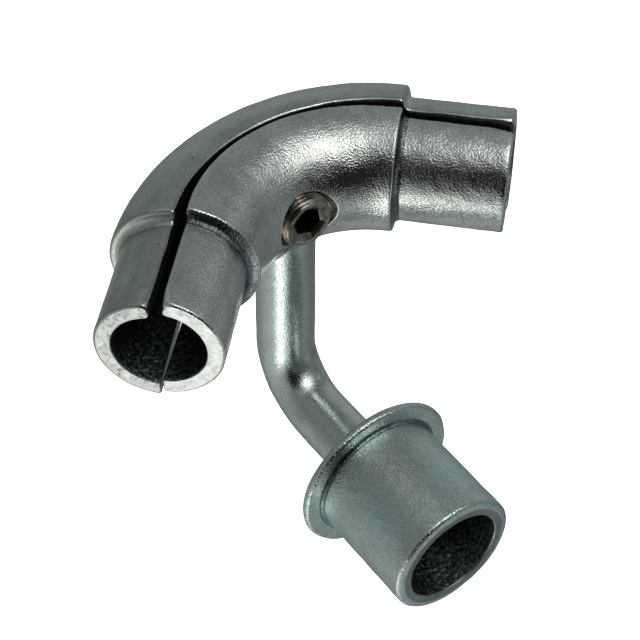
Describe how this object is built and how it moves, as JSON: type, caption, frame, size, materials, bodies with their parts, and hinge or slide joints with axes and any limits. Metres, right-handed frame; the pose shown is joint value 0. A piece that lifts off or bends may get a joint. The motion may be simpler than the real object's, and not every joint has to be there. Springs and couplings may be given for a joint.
{
  "type": "expanding handrail corner connector",
  "caption": "Split 90-degree tube elbow whose two spigots expand inside handrail tubes by a set screw, carried on a bent arm with a flanged spigot for a post.",
  "frame": {"origin": "centre of the flange's seating face, on the post spigot's axis", "axes": "the post spigot points along -Y, +Z runs from it up to the level elbow, and X = 0 is the plane of symmetry"},
  "size_m": [0.1438, 0.1164, 0.1237],
  "materials": {
    "zinc_plated_casting": "bright zinc plate over a cast surface",
    "zinc_plated_bar": "bright zinc plate",
    "screw_steel": "dull steel, slightly browned"
  },
  "bodies": {
    "bracket": {"elbow_inner_half": "zinc_plated_casting", "bracket_arm": "zinc_plated_bar", "post_spigot": "zinc_plated_casting"},
    "outer_half": {"elbow_outer_half": "zinc_plated_casting"},
    "screw": {"set_screw": "screw_steel"}
  },
  "joints": [
    {"name": "expand", "type": "slide", "parent": "bracket", "child": "outer_half", "axis": [0, 1, 0], "range_m": [-0.0007, 0.0024]},
    {"name": "screw_turn", "type": "hinge", "parent": "outer_half", "child": "screw", "pos_m": [0, 0.0354, 0.0765], "axis": [0, 1, 0], "range_deg": [-189, 647]}
  ],
  "couplings": [
    {"joint": "screw_turn", "follows": "expand", "rad_per_m": 4700}
  ]
}
